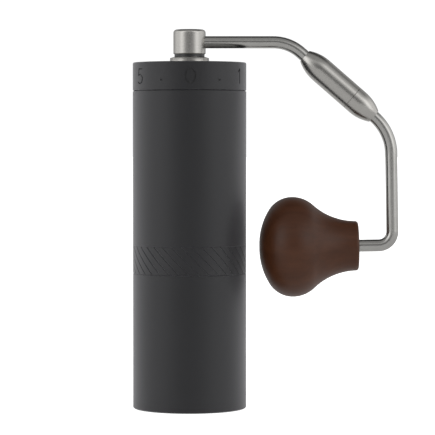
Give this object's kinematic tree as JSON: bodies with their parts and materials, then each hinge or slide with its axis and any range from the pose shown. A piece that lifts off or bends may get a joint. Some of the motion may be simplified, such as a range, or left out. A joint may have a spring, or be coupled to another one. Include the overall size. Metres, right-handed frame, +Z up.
{
  "type": "hand crank coffee grinder",
  "caption": "Slim cylindrical hand coffee grinder with a folding top crank, bulb-shaped wooden knob, numbered adjustment dial and pull-off catch cup.",
  "frame": {"origin": "centre of the foot pad's underside, on the barrel's axis", "axes": "+Z up along the barrel's axis, +X the way the crank's upper arm points, -Y towards the dial's zero"},
  "size_m": [0.1219, 0.052, 0.1738],
  "materials": {
    "coating": "matte charcoal coating on aluminium",
    "steel": "brushed stainless steel",
    "burr_steel": "hardened ground steel",
    "bearing_steel": "polished bearing steel",
    "frame_alloy": "plain machined aluminium",
    "bush_brass": "turned brass",
    "spring_steel": "spring wire",
    "rubber": "black rubber",
    "ink": "black fill",
    "polymer": "black bearing polymer",
    "wood": "dark oiled walnut"
  },
  "bodies": {
    "barrel": {"body_shell": "coating", "spigot_seal": "rubber", "outer_burr": "burr_steel", "burr_retainer": "steel", "retainer_screws": "steel", "lower_frame": "frame_alloy", "shaft_bush": "bush_brass", "upper_frame": "frame_alloy", "click_balls": "bearing_steel", "click_springs": "spring_steel"},
    "cup": {"catch_cup": "coating", "cup_pad": "rubber"},
    "dial": {"dial_ring": "coating", "dial_marks": "ink", "adjusting_frame": "frame_alloy"},
    "carrier": {"bearing_carrier": "frame_alloy", "upper_bearing_outer_race": "bearing_steel", "upper_bearing_balls": "bearing_steel"},
    "shaft": {"drive_shaft": "steel", "upper_bearing_inner_race": "bearing_steel", "shaft_circlip": "spring_steel", "inner_burr": "burr_steel", "burr_washer": "steel", "burr_bolt": "steel", "burr_spring": "spring_steel"},
    "lid": {"lid_plate": "frame_alloy", "lid_seal": "rubber", "lid_collar": "steel", "lid_bearing_outer_race": "bearing_steel", "lid_bearing_balls": "bearing_steel"},
    "crank": {"crank_hub": "steel", "hub_washer": "polymer", "lid_bearing_inner_race": "bearing_steel", "hub_circlip": "spring_steel", "upper_arm": "steel", "upper_sleeve": "steel", "fold_balls": "bearing_steel"},
    "folding_arm": {"lower_sleeve": "steel", "fold_pin": "steel", "fold_spring": "spring_steel", "lower_arm": "steel", "knob_clip": "spring_steel"},
    "knob": {"knob": "wood", "knob_bush": "bush_brass"}
  },
  "joints": [
    {"name": "dial_turn", "type": "hinge", "parent": "barrel", "child": "dial", "pos_m": [0, 0, 0.1522], "axis": [0, 0, -1], "range_deg": [0, 720]},
    {"name": "carrier_travel", "type": "slide", "parent": "barrel", "child": "carrier", "axis": [0, 0, -1], "range_m": [0, 0.0015], "deforming": ["burr_spring"]},
    {"name": "shaft_spin", "type": "hinge", "parent": "carrier", "child": "shaft", "pos_m": [0, 0, 0.12], "axis": [0, 0, -1], "continuous": true},
    {"name": "lid_lift", "type": "slide", "parent": "barrel", "child": "lid", "axis": [0, 0, 1], "range_m": [0, 0.03]},
    {"name": "crank_spin", "type": "hinge", "parent": "lid", "child": "crank", "pos_m": [0, 0, 0.16], "axis": [0, 0, -1], "continuous": true},
    {"name": "fold_turn", "type": "hinge", "parent": "crank", "child": "folding_arm", "pos_m": [0.07446, 0, 0.1428], "axis": [0.7538, 0, -0.6571], "range_deg": [0, 180]},
    {"name": "knob_spin", "type": "hinge", "parent": "folding_arm", "child": "knob", "pos_m": [0.07743, 0, 0.0748], "axis": [-0.9999, 0, -0.0166], "continuous": true},
    {"name": "cup_pull", "type": "slide", "parent": "barrel", "child": "cup", "axis": [0, 0, -1], "range_m": [0, 0.03]}
  ],
  "couplings": [
    {"joint": "dial_turn", "follows": "carrier_travel", "rad_per_m": 8377.6},
    {"joint": "shaft_spin", "follows": "crank_spin", "ratio": 1}
  ]
}
